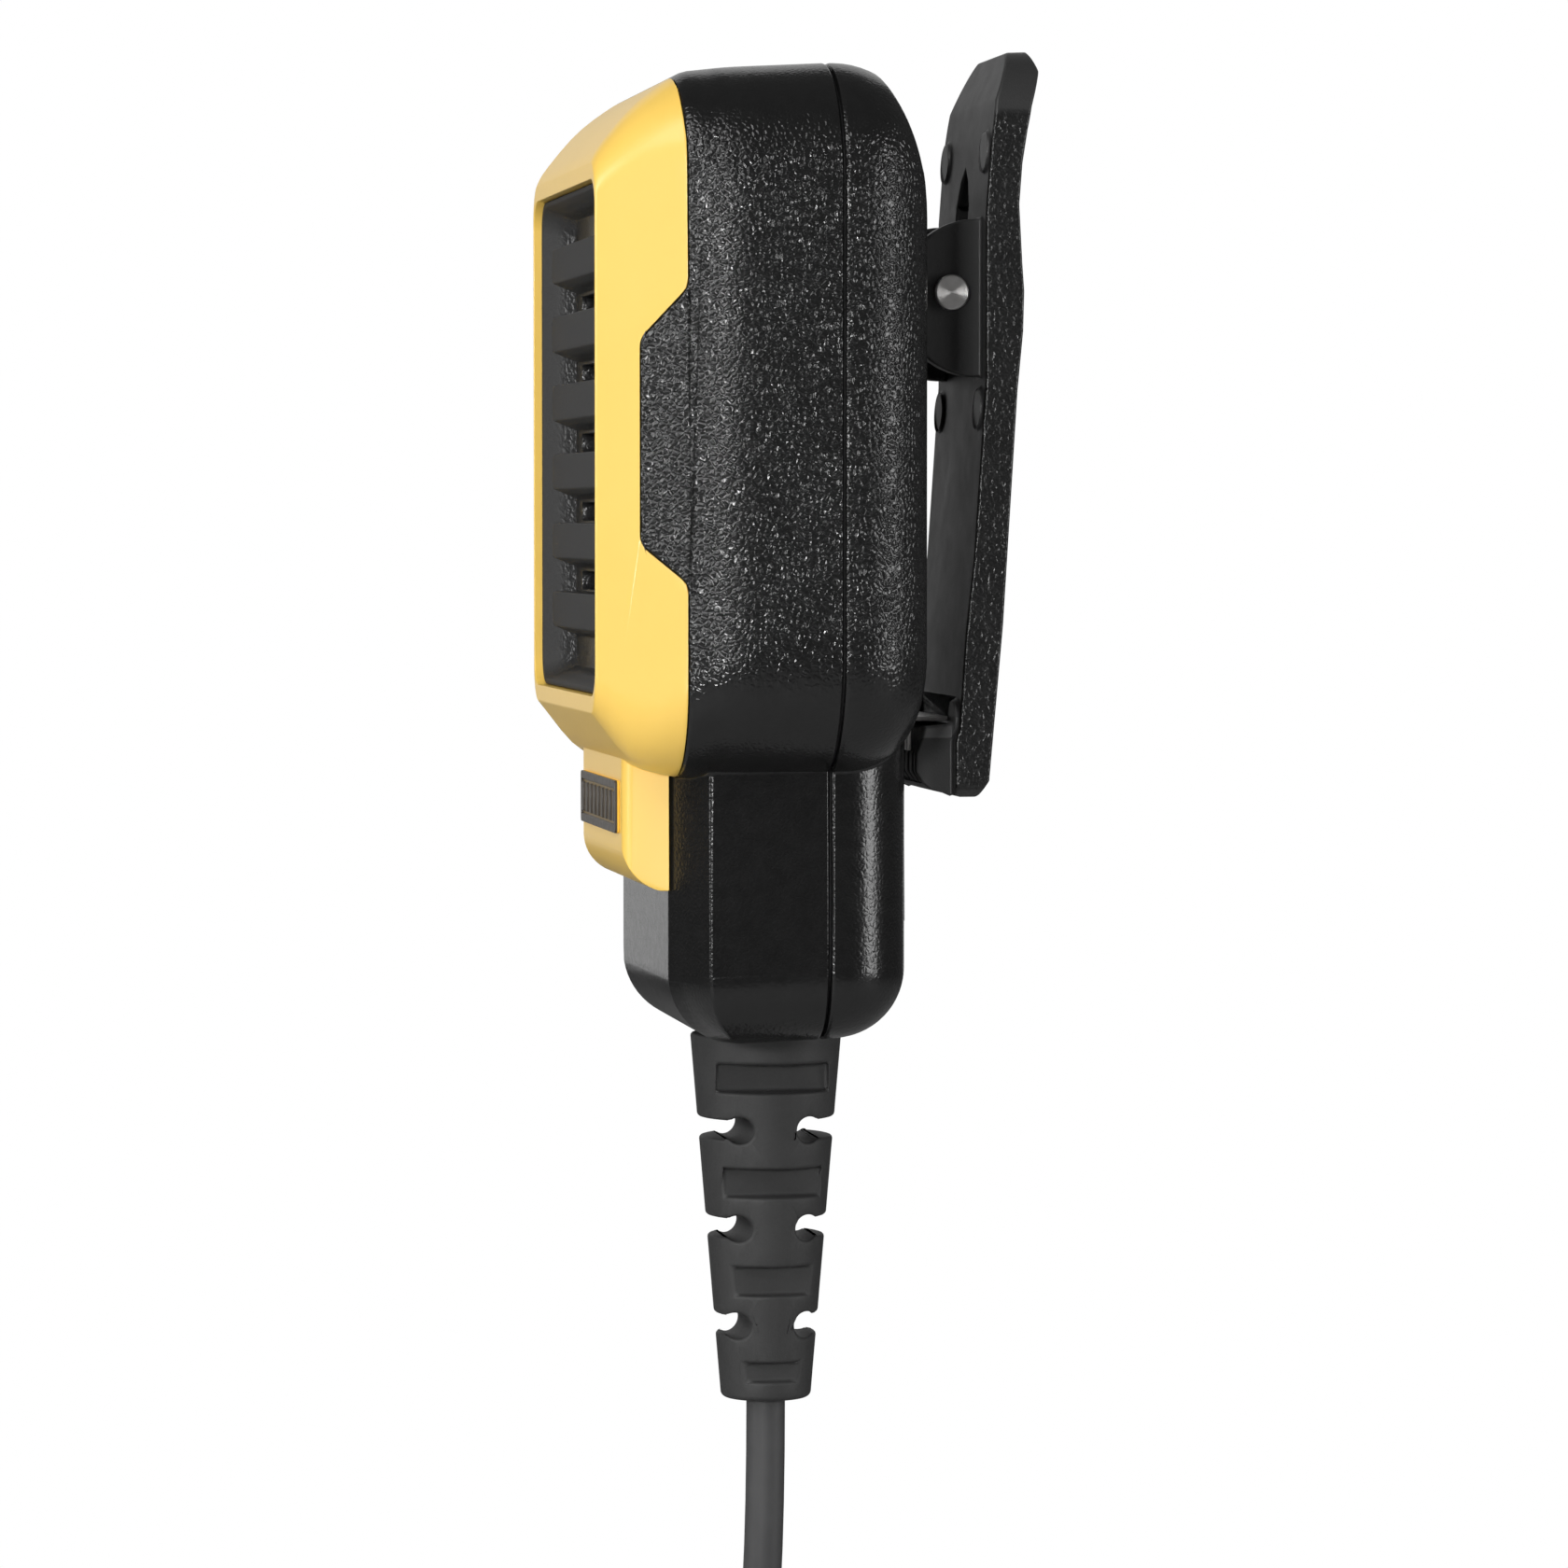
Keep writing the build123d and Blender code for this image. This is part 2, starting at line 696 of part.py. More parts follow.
# ---------------------------------------------------------------- clip
def lever_outline():
    return [
        (10.6, lever_top), (8.7, 65.3), (8.2, 61.6), (7.65, 54.3), (7.65, 37.8), (7.1, 29.6),
        (6.5, 20.6), (5.7, 13.3), (5.1, 4.2), (4.7, 2.8), (4.7, lever_low + 0.3),
        (5.4, lever_low), (lever_jaw_y - 1.0, lever_low), (lever_jaw_y, lever_low + 1.6),
        (8.55, 4.4), (9.45, 14.2), (10.25, 26.2), (10.85, 37.0), (11.4, 42.8), (11.5, 46.7),
        (11.3, 49.5), (11.0, 55.1), (11.3, 59.1), (11.8, 62.3), (12.3, 64.7), (13.4, 68.2),
        (12.9, lever_top + 0.1),
    ]


def clip_lever():
    """Sprung lever: plate with a rounded top, two ears for the pin, and the jaw block."""
    plate = side_prism(lever_outline(), -lever_half_w, lever_half_w)
    tall = lever_top + 0.4
    face = Pos(0, (tall + lever_low) / 2) * Rectangle(2 * lever_half_w, tall - lever_low)
    face = fillet(face.vertices().group_by(Axis.Y)[-1], lever_top_r)
    face = fillet(face.vertices().group_by(Axis.Y)[0], 1.5)
    plate &= slab(face, -5, 30)
    slot = Pos(0, 51.0) * Rectangle(6.0, 9.0)
    point = Polyline((-3, -0.2), (3, -0.2), (1.6, 2.4), (0, 3.6), (-1.6, 2.4), close=True)
    slot += Pos(0, 55.5) * make_face(point)
    plate -= slab(slot, 0, 9.7)
    for side in (-1, 1):
        x_out = side * ear_outer_x
        x_in = side * (ear_outer_x - ear_t)
        low, high = min(x_in, x_out), max(x_in, x_out)
        disc = rod_x(ear_y, pin_z - 0.5, ear_r, low, high)
        disc &= box_between((-FAR, ear_near_y, 0), (FAR, ear_y + 1.2, FAR))
        plate += disc
        plate -= rod_x(pin_y, pin_z, pin_r, low - 1, high + 1)
    jaw = side_prism([
        (5.6, 4.6), (1.9, 4.3), (1.7, 3.4), (jaw_tip_y + 0.5, 1.6), (jaw_tip_y + 0.5, -0.2),
        (1.7, -1.2), (2.5, -1.9), (5.6, lever_low + 0.1),
    ], -lever_half_w + 1.5, lever_half_w - 1.5)
    plate += jaw
    for k in range(9):
        x = (k - 4) * 2.4
        plate -= box_between((x - 0.25, -1, -2.4), (x + 0.25, jaw_tip_y + 1.1, 1.7))
    bump = box_between((-6, 10.6, 59.9), (6, 12.6, 62.7))
    bump = fillet(bump.edges().filter_by(Axis.X).sort_by(Axis.Y)[-2:], 0.8)
    for x in (-10.0, 10.0):
        for y, z in ejector_marks:
            plate += rod_y(x, z, ejector_r, y - ejector_proud, y + 0.8)
    return plate + bump


def jaw_plate():
    """Pressed steel tooth plate let into the jaw: a top strip and a toothed front lip."""
    top = box_between((-plate_half_w, 1.9, 4.75), (plate_half_w, 4.6, 4.75 + plate_t))
    lip = box_between(
        (-plate_half_w, jaw_tip_y, 1.9), (plate_half_w, jaw_tip_y + plate_t, 4.75 + plate_t)
    )
    strip = box_between((-plate_half_w, jaw_tip_y, 4.75), (plate_half_w, 2.0, 4.75 + plate_t))
    plate = top + strip + lip
    for k in range(8):
        x = (k - 3.5) * 2.2
        plate -= box_between((x - 0.4, -1, 1.5), (x + 0.4, jaw_tip_y + plate_t + 0.1, 2.8))
    return plate


def hinge_pin():
    half = ear_outer_x
    shaft = rod_x(pin_y, pin_z, pin_r, -half, half)
    for side in (-1, 1):
        low, high = sorted((side * half, side * (half + pin_head_t)))
        shaft += rod_x(pin_y, pin_z, pin_head_r, low, high)
    rim = [e for e in shaft.edges().filter_by(GeomType.CIRCLE) if abs(e.center().X) > half + 0.5]
    return fillet(rim, 0.25)


def swivel_base():
    """Turning plate on the back: disc, stud through the shell, two lugs for the pin."""
    disc = rod_y(0, pin_z, swivel_r, swivel_gap, swivel_gap + swivel_t)
    stud = rod_y(0, pin_z, stud_r, -wall - 0.6 - run_gap, swivel_gap + 0.1)
    base = disc + stud
    for side in (-1, 1):
        low, high = sorted((side * lug_outer_x, side * (lug_outer_x - lug_t)))
        lug = rod_x(pin_y, pin_z, lug_r, low, high)
        lug += box_between((low, swivel_gap + 0.1, pin_z - lug_r), (high, pin_y, pin_z + lug_r))
        base += lug & rod_y(0, pin_z, swivel_r + 1.2, -1, 20)
    base -= rod_x(pin_y, pin_z, pin_r + run_gap, -FAR, FAR)
    return base - rod_y(0, pin_z, 1.2, -wall - 3, swivel_gap + swivel_t - 0.4)


def swivel_washer():
    back = -wall - 0.6 - run_gap
    ring = rod_y(0, pin_z, washer_r, back - washer_t, back)
    return ring - rod_y(0, pin_z, 1.25, back - 2, back + 1)


def swivel_screw():
    back = -wall - 0.6 - run_gap - washer_t
    head = rod_y(0, pin_z, 2.3, back - 1.3, back)
    shank = rod_y(0, pin_z, 1.15, back - 0.1, swivel_gap + 0.2)
    recess = box_between((-0.3, back - 2, pin_z - 1.6), (0.3, back - 0.6, pin_z + 1.6))
    recess += box_between((-1.6, back - 2, pin_z - 0.3), (1.6, back - 0.6, pin_z + 0.3))
    return head + shank - recess


def clip_spring():
    """Torsion spring round the pin, one leg on the lever and one on the swivel plate."""
    pitch = 2 * spring_wire_r + 0.12
    height = pitch * spring_turns
    helix = Helix(pitch, height, spring_mean_r)
    section = Plane(origin=helix @ 0, z_dir=helix % 0) * Circle(spring_wire_r)
    coil = sweep(section, path=helix, is_frenet=True)
    coil = Pos(-height / 2, pin_y, pin_z) * Rot(0, 90, 0) * coil
    return coil


# ---------------------------------------------------------------- strain relief and clamp
def boot_radius(z):
    share = (boot_top_z - z) / (boot_top_z - boot_low_z)
    return boot_top_r + share * (boot_low_r - boot_top_r)


def cable_boot():
    """Tapered rubber strain relief, weakened by cuts from alternate sides."""
    cone = Pos(0, cable_y, (boot_top_z + boot_low_z) / 2) * Cone(
        boot_low_r, boot_top_r, boot_top_z - boot_low_z
    )
    cone = fillet(cone.edges().sort_by(Axis.Z)[0], 0.6)
    for z in boot_side_cuts:
        for side in (-1, 1):
            low, high = sorted((side * boot_web, side * FAR))
            half = boot_cut_h / 2
            cone -= box_between((-FAR, cable_y + low, z - half), (FAR, cable_y + high, z + half))
            cone -= rod_x(cable_y + side * (boot_web + 0.9), z, boot_cut_root_r, -FAR, FAR)
    for z in boot_face_cuts:
        half = boot_face_cut_h / 2 if z > boot_face_cuts[-1] else boot_face_cut_h / 3
        reach = boot_radius(z) * 0.78
        for side in (-1, 1):
            low, high = sorted((side * (boot_web + 1.2), side * FAR))
            cone -= box_between((low, cable_y - reach, z - half), (high, cable_y + reach, z + half))
    cone += rod_z(0, cable_y, boot_neck_r, boot_top_z - 0.5, neck_bottom + wall + 0.5)
    cone += rod_z(0, cable_y, boot_flange_r, neck_bottom + wall, boot_flange_top())
    return cone - rod_z(0, cable_y, cable_d / 2 + seat_gap, boot_low_z - 1, boot_flange_top() + 1)


def inner_cable():
    return rod_z(0, cable_y, cable_d / 2, boot_low_z, clamp_z + clamp_h / 2 + 2)


def cable_clamp():
    """Block on the inside of the neck that grips the cable."""
    block = box_between(
        (-clamp_w / 2, neck_front_y + wall + seat_gap, clamp_z - clamp_h / 2),
        (clamp_w / 2, cable_y + cable_d / 2 + clamp_t, clamp_z + clamp_h / 2),
    )
    block = fillet(block.edges().filter_by(Axis.Z), 1.0)
    return block - rod_z(0, cable_y, cable_d / 2, clamp_z - clamp_h, clamp_z + clamp_h)


def wire(points, r):
    path = FilletPolyline(*points, radius=1.2)
    return sweep(Plane(origin=path @ 0, z_dir=path % 0) * Circle(r), path=path)


def lead_wires():
    """Four cores from the cable's end to the foot of the board."""
    start = clamp_z + clamp_h / 2 + 2
    cores = []
    for i in range(4):
        side = i - 1.5
        cores.append(wire([
            (0.7 * side, cable_y, start), (0.7 * side, cable_y, start + 3),
            (2.4 * side, board_y - 2.4, board_low - 2), (2.4 * side, board_y - 2.4, board_low + 2.5),
            (2.4 * side, board_y, board_low + 2.5),
        ], 0.4))
    return Compound(children=cores)


def speaker_wires():
    start = speaker_front + speaker_depth / 2
    return Compound(children=[
        rod_y(x, speaker_z - magnet_r - 6, 0.4, start, board_y) for x in (-2.2, 2.2)
    ])


# ---------------------------------------------------------------- free cable and plug
def route_tube(points, name):
    """Round tube along straight runs and arcs as large as each pair of runs allows."""
    spots = [Vector(*p) for p in points]
    runs = [b - a for a, b in zip(spots, spots[1:])]
    radii = []
    for before, after in zip(runs, runs[1:]):
        half_turn = math.radians(before.get_angle(after)) / 2
        radii.append(0.45 * min(before.length, after.length) / math.tan(half_turn))
    path = FilletPolyline(*spots, radius=radii)
    tube = sweep(Plane(origin=path @ 0, z_dir=path % 0) * Circle(cable_d / 2), path=path)
    section = math.pi * cable_d ** 2 / 4
    print(name, "length", round(path.length, 1), "arc radii", [round(r, 1) for r in radii])
    print(name, "volume over section x length", round(tube.volume / section / path.length, 4))
    return tube


def coil_first_y():
    return cable_y - coil_turns * cable_d / 2


def coil_ring(extra):
    """The coil's outer shape, grown by extra on every side."""
    y_front = coil_first_y() - cable_d / 2 - extra
    y_back = coil_first_y() + (coil_turns + 0.5) * cable_d + extra
    ring = rod_y(0, coil_z, coil_r + cable_d / 2 + extra, y_front, y_back)
    return ring - rod_y(0, coil_z, coil_r - cable_d / 2 - extra, y_front - 1, y_back + 1)


def coil_tie():
    """Hook-and-loop strap round the turns, at the top of the coil."""
    band = coil_ring(coil_gap + tie_t) - coil_ring(coil_gap)
    return band & box_between((-tie_w / 2, -FAR, coil_z), (tie_w / 2, FAR, FAR))


def plug_top():
    return lower_route[-1]


def plug_sleeve():
    x, y, z = plug_top()
    cone = Pos(x, y, z - plug_sleeve_l / 2) * Cone(plug_sleeve_r, plug_sleeve_tip_r, plug_sleeve_l)
    for k in range(3):
        low = z - 3.0 - 2.4 * k
        groove = rod_z(x, y, plug_sleeve_r + 1, low - 0.9, low)
        cone -= groove - rod_z(x, y, plug_sleeve_tip_r - 0.3, low - 0.9, low)
    return cone


def plug_middle():
    x, y, z = plug_top()
    return x, y, z - plug_sleeve_l - plug_h / 2


def plug_body():
    x, y, z = plug_middle()
    block = Pos(x, y, z) * Box(plug_w, plug_d, plug_h)
    block = fillet(block.edges().filter_by(Axis.Y), 3.0)
    block = fillet(block.faces().sort_by(Axis.Y)[-1].edges(), 1.6)
    for side, r in ((1, pin_large_r), (-1, pin_small_r)):
        pin_axis = z + side * pin_spacing / 2
        face = y - plug_d / 2
        block -= rod_y(x, pin_axis, r - pin_root_step, face - 1, face + pin_root)
    return block


def plug_pin(side, r, length):
    """Round contact pin with a waisted tip."""
    x, y, z = plug_middle()
    face = y - plug_d / 2
    end = face - length
    profile = make_face(Polyline(
        (0, face + pin_root), (r - pin_root_step, face + pin_root), (r - pin_root_step, face),
        (r, face), (r, end + 3.2), (r * 0.72, end + 2.6), (r * 0.9, end + 1.6),
        (r * 0.35, end), (0, end), close=True,
    ))
    return Pos(x, 0, z + side * pin_spacing / 2) * revolve(profile, Axis.Y)


save("front_shell", front_shell())
save("rear_shell", rear_shell())
save("bezel", bezel())
save("grille_insert", grille_insert())
save("badge_plate", badge_plate())
save("housing_seal", housing_seal())
save("case_screws", Compound(children=[case_screw(x, z) for x, z in screw_places()]))
save("grille_cloth", grille_cloth())
save("speaker_gasket", speaker_gasket())
save("speaker_frame", speaker_frame())
save("speaker_cone", speaker_cone())
save("speaker_magnet", speaker_magnet())
save("mic_boot", mic_boot())
save("mic_capsule", mic_capsule())
save("circuit_board", circuit_board())
save("ptt_switch", ptt_switch())
save("ptt_button", ptt_button())
save("clip_lever", clip_lever())
save("jaw_plate", jaw_plate())
save("hinge_pin", hinge_pin())
save("swivel_base", swivel_base())
save("swivel_washer", swivel_washer())
save("swivel_screw", swivel_screw())
save("clip_spring", clip_spring())
save("cable_boot", cable_boot())
save("inner_cable", inner_cable())
save("cable_clamp", cable_clamp())
save("lead_wires", lead_wires())
save("speaker_wires", speaker_wires())
save("cable_upper", route_tube(upper_route, "cable_upper"))
save("cable_coil", coil_ring(0))
save("cable_lower", route_tube(lower_route, "cable_lower"))
save("coil_tie", coil_tie())
save("plug_sleeve", plug_sleeve())
save("plug_body", plug_body())
save("plug_pin_large", plug_pin(1, pin_large_r, pin_large_l))
save("plug_pin_small", plug_pin(-1, pin_small_r, pin_small_l))
coil_length = math.hypot(2 * math.pi * coil_r, cable_d) * coil_turns
print("coil length", round(coil_length, 1))
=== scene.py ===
import bpy
import json
from math import cos, pi, radians, sin
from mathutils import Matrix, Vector

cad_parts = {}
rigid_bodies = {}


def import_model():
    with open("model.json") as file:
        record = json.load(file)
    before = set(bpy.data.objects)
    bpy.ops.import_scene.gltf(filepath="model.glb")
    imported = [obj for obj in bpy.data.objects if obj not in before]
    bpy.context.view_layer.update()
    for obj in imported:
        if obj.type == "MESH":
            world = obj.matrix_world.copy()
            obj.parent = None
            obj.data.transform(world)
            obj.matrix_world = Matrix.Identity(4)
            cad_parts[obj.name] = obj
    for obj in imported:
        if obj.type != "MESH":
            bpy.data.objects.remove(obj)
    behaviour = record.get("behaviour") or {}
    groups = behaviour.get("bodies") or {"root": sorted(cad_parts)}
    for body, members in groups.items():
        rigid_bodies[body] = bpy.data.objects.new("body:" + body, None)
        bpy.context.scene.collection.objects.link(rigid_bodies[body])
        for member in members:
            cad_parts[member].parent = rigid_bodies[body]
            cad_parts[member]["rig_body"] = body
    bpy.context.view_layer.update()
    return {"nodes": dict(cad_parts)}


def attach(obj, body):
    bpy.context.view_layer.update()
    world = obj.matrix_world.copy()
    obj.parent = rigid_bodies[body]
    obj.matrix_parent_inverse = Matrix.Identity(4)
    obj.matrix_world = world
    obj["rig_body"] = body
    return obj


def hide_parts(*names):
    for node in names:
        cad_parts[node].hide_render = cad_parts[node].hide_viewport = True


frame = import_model()
bpy.ops.object.select_all(action="DESELECT")

# ---------------------------------------------------------------- camera and studio
# The microphone hangs above a plain white floor, before a white backdrop, lit by six
# soft boxes. The camera looks at its right side from a little in front, with a long lens.
sight = Vector((0, -0.0102, -0.0017))
stand_off = 0.6
turn, rise = radians(80.7), radians(2.5)
back = Vector((sin(turn) * cos(rise), -cos(turn) * cos(rise), sin(rise)))
bpy.ops.object.camera_add(location=sight + stand_off * back)
camera = bpy.context.object
camera.rotation_euler = (-back).to_track_quat("-Z", "Y").to_euler()
camera.data.lens = 139
bpy.context.scene.camera = camera
bpy.context.scene.view_settings.view_transform = "Standard"


def shown_to_camera(tree, shown, lighting, output):
    """The camera sees one shader here, and the light that reaches the object comes from the other."""
    ray = tree.nodes.new("ShaderNodeLightPath")
    switch = tree.nodes.new("ShaderNodeMixShader")
    tree.links.new(ray.outputs["Is Camera Ray"], switch.inputs["Fac"])
    tree.links.new(lighting.outputs[0], switch.inputs[1])
    tree.links.new(shown.outputs[0], switch.inputs[2])
    tree.links.new(switch.outputs[0], output.inputs["Surface"])


white = (1, 1, 1, 1)
floor_r = 6
floor_z = -0.26
bpy.ops.mesh.primitive_circle_add(
    vertices=96, radius=floor_r, fill_type="NGON", location=(0, 0, floor_z)
)
floor = bpy.context.object
floor.name = "floor"
paper = bpy.data.materials.new("white_paper")
paper.use_nodes = True
sheet = paper.node_tree
matt = sheet.nodes["Principled BSDF"]
matt.inputs["Base Color"].default_value = (0.45, 0.45, 0.45, 1)
matt.inputs["Roughness"].default_value = 0.9
lit = sheet.nodes.new("ShaderNodeEmission")
lit.inputs["Color"].default_value = white
shown_to_camera(sheet, lit, matt, sheet.nodes["Material Output"])
floor.data.materials.append(paper)


def softbox(name, place, aim, width, height, power):
    bpy.ops.object.light_add(type="AREA", location=place)
    light = bpy.context.object
    light.name = name
    light.data.shape = "RECTANGLE"
    light.data.size = width
    light.data.size_y = height
    light.data.energy = power
    light.rotation_euler = (Vector(aim) - Vector(place)).to_track_quat("-Z", "Y").to_euler()


# The two key boxes light the ridge of the right side, and rear_box the rounding behind it.
softbox("key_high", (0.707, -0.330, 0.095), (0, 0, 0.05), 0.10, 0.06, 2.2)
softbox("key_low", (0.707, -0.330, -0.010), (0, 0, 0.01), 0.11, 0.05, 0.4)
softbox("side_box", (0.50, -0.45, 0.62), (0, 0, 0), 0.42, 0.42, 2.6)
softbox("face_box", (0.24, -0.82, 0.20), (0, 0, 0), 0.30, 0.50, 3.4)
softbox("rear_box", (0.40, 0.72, 0.12), (0, 0, 0), 0.22, 0.50, 2.6)
softbox("far_box", (-0.85, 0.05, 0.30), (0, 0, 0), 0.8, 0.9, 1.3)

world = bpy.data.worlds.new("studio")
world.use_nodes = True
bpy.context.scene.world = world
room = world.node_tree
glow = room.nodes["Background"]
glow.inputs["Color"].default_value = white
glow.inputs["Strength"].default_value = 0.10
backdrop = room.nodes.new("ShaderNodeBackground")
backdrop.inputs["Color"].default_value = white
shown_to_camera(room, backdrop, glow, room.nodes["World Output"])


# ---------------------------------------------------------------- the lead
# Round lead with a matt PVC jacket, 3.9 mm thick. It hangs straight out of the strain
# relief, then goes five times round a coil, and ends in a two-pin plug.
class Wire:
    """One socket of a finish. Arithmetic on wires adds Math nodes to it."""

    def __init__(self, finish, socket):
        self.finish = finish
        self.socket = socket

    def join(self, operation, first, second):
        return self.finish.add("ShaderNodeMath", {"operation": operation}, {0: first, 1: second})

    def __add__(self, other):
        return self.join("ADD", self, other)

    def __radd__(self, other):
        return self.join("ADD", other, self)

    def __sub__(self, other):
        return self.join("SUBTRACT", self, other)

    def __rsub__(self, other):
        return self.join("SUBTRACT", other, self)

    def __mul__(self, other):
        return self.join("MULTIPLY", self, other)

    def __rmul__(self, other):
        return self.join("MULTIPLY", other, self)

    def __pow__(self, other):
        return self.join("POWER", self, other)


class Finish:
    """A material: a Principled shader, and the nodes that feed it."""

    def __init__(self, name, **constants):
        self.material = bpy.data.materials.new(name)
        self.material.use_nodes = True
        self.tree = self.material.node_tree
        self.shader = self.tree.nodes["Principled BSDF"]
        self.wear(**constants)

    def feed(self, socket, value):
        """Link a wire to a socket, or set a number or a colour on it."""
        if isinstance(value, Wire):
            self.tree.links.new(value.socket, socket)
        elif isinstance(value, tuple):
            socket.default_value = (*value, 1)
        else:
            socket.default_value = value

    def wear(self, **fed):
        """Feed the shader's own sockets, with _ for each space in a name."""
        for name, value in fed.items():
            self.feed(self.shader.inputs[name.replace("_", " ")], value)

    def add(self, kind, settings=None, values=None, out=0):
        """Add a node, set it up, feed its sockets, and hand back one output."""
        node = self.tree.nodes.new(kind)
        for name, value in (settings or {}).items():
            setattr(node, name, value)
        for name, value in (values or {}).items():
            self.feed(node.inputs[name], value)
        return Wire(self, node.outputs[out])

    def spot(self):
        return self.add("ShaderNodeTexCoord", out="Object")

    def along(self, axis, spot):
        return self.add("ShaderNodeSeparateXYZ", {}, {0: spot}, out=axis)

    def noise(self, spot, scale, detail=2.0, roughness=0.5, distortion=0.0):
        return self.add("ShaderNodeTexNoise", {}, {
            "Vector": spot, "Scale": scale, "Detail": detail, "Roughness": roughness,
            "Distortion": distortion,
        })

    def fade(self, value, low, high):
        """0 at low and beyond, 1 at high and beyond, and smooth between."""
        return self.add("ShaderNodeMapRange", {"interpolation_type": "SMOOTHSTEP"}, {
            "Value": value, "From Min": low, "From Max": high,
        })

    def tint(self, share, dark, light):
        return self.add("ShaderNodeMix", {"data_type": "RGBA"}, {0: share, 6: dark, 7: light}, out=2)

    def bump(self, height, distance, strength=1.0):
        self.wear(Normal=self.add("ShaderNodeBump", {}, {
            "Height": height, "Distance": distance, "Strength": strength,
        }))


jacket = Finish("cable_jacket")
spot = jacket.spot()
mottle = jacket.noise(spot, 420, 3)
pores = jacket.noise(spot, 5200, 2)
jacket.wear(
    Base_Color=jacket.tint(mottle, (0.040, 0.040, 0.041), (0.062, 0.062, 0.063)),
    Roughness=0.48 + 0.16 * mottle,
)
jacket.bump(pores + 0.6 * mottle, 0.00002, 0.5)

cable_d = 0.0039
upper = [
    (0.0, -0.01205, -0.0626), (0.0, -0.01205, -0.0800), (-0.0022, -0.0136, -0.0975),
    (-0.0084, -0.0196, -0.1106), (-0.0176, -0.0219, -0.1206),
]
lower = [
    (-0.0230, -0.00215, -0.1354), (-0.0228, -0.0017, -0.1464), (-0.0232, -0.0021, -0.1578),
    (-0.0230, -0.0018, -0.1686),
]
coil_r = 0.023
coil_z = -0.1354
first_turn_y = -0.02202
first_deg, last_deg = 140, 1980
per_turn = 16
control_r = coil_r / cos(pi / per_turn)
steps = round((last_deg - first_deg) * per_turn / 360)
coil = []
for step in range(1, steps):
    angle = radians(first_deg + (last_deg - first_deg) * step / steps)
    turns_done = (angle - radians(first_deg)) / (2 * pi)
    coil.append((
        control_r * cos(angle),
        first_turn_y + cable_d * turns_done,
        coil_z + control_r * sin(angle),
    ))
route = upper + coil + lower
line = bpy.data.curves.new("lead", "CURVE")
line.dimensions = "3D"
spline = line.splines.new("NURBS")
spline.points.add(len(route) - 1)
for control, corner in zip(spline.points, route):
    control.co = (*corner, 1)
spline.order_u = 3
spline.use_endpoint_u = True
spline.resolution_u = 6
line.bevel_depth = cable_d / 2
line.bevel_resolution = 8
line.use_fill_caps = True
lead = bpy.data.objects.new("lead", line)
bpy.context.scene.collection.objects.link(lead)
line.materials.append(jacket.material)
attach(lead, "housing")
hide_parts("cable_upper", "cable_coil", "cable_lower")


# ---------------------------------------------------------------- strain relief
# Tapered boot of soft black rubber on the lead, cut in turn from front and back and
# from its two sides, so that it bends. Its flange is held between the two shells.
weld = 0.00003
flat_deg = 1
smooth_deg = 40


def worked(node, name, finish, edge, ridge_deg=28, segments=2, joined=True):
    """Copy of a CAD node, with its corners merged and its ridges rounded by edge.

    joined melts each flat face into one before that, which thin rims don't stand.
    """
    source = frame["nodes"][node]
    piece = bpy.data.objects.new(name, source.data.copy())
    bpy.context.scene.collection.objects.link(piece)
    bpy.ops.object.select_all(action="DESELECT")
    piece.select_set(True)
    bpy.context.view_layer.objects.active = piece
    bpy.ops.object.mode_set(mode="EDIT")
    bpy.ops.mesh.select_all(action="SELECT")
    bpy.ops.mesh.customdata_custom_splitnormals_clear()
    bpy.ops.mesh.remove_doubles(threshold=weld)
    if joined:
        bpy.ops.mesh.dissolve_limited(angle_limit=radians(flat_deg))
    bpy.ops.mesh.select_all(action="DESELECT")
    bpy.ops.object.mode_set(mode="OBJECT")
    rounding = piece.modifiers.new("rounding", "BEVEL")
    rounding.width = edge
    rounding.segments = segments
    rounding.limit_method = "ANGLE"
    rounding.angle_limit = radians(ridge_deg)
    rounding.use_clamp_overlap = False
    bpy.ops.object.modifier_apply(modifier="rounding")
    bpy.ops.object.shade_smooth_by_angle(angle=radians(smooth_deg))
    even = piece.modifiers.new("even", "WEIGHTED_NORMAL")
    even.keep_sharp = True
    bpy.ops.object.modifier_apply(modifier="even")
    piece.data.materials.clear()
    piece.data.materials.append(finish.material)
    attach(piece, source["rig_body"])
    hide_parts(node)
    return piece


rubber = Finish("boot_rubber")
spot = rubber.spot()
cloud = rubber.noise(spot, 260, 4, 0.6)
fine = rubber.noise(spot, 4200, 2, 0.6)
rubber.wear(
    Base_Color=rubber.tint(cloud, (0.018, 0.018, 0.018), (0.034, 0.034, 0.034)),
    Roughness=0.50 + 0.22 * fine,
)
rubber.bump(fine + 1.5 * cloud, 0.000025, 0.6)
boot = worked("cable_boot", "strain_relief", rubber, 0.00035, segments=3)


# ---------------------------------------------------------------- coil tie
# Hook-and-loop strap round the five turns of the lead, closed on itself. Its outer
# face is a plain weave of black nylon thread.
weave = Finish("tie_fabric")
spot = weave.spot()
thread_scale = 900
warp, weft = [
    weave.add("ShaderNodeTexWave", {"bands_direction": run}, {
        "Vector": spot, "Scale": thread_scale, "Distortion": 0.6,
    })
    for run in ("X", "Y")
]
fuzz = weave.noise(spot, 2600, 4, 0.7)
cloth = 0.5 * warp + 0.5 * weft + 0.5 * fuzz
weave.wear(
    Base_Color=weave.tint(cloth, (0.010, 0.010, 0.011), (0.050, 0.050, 0.052)),
    Roughness=0.9,
)
weave.bump(cloth, 0.00012, 0.8)
tie = worked("coil_tie", "strap_tie", weave, 0.0003)


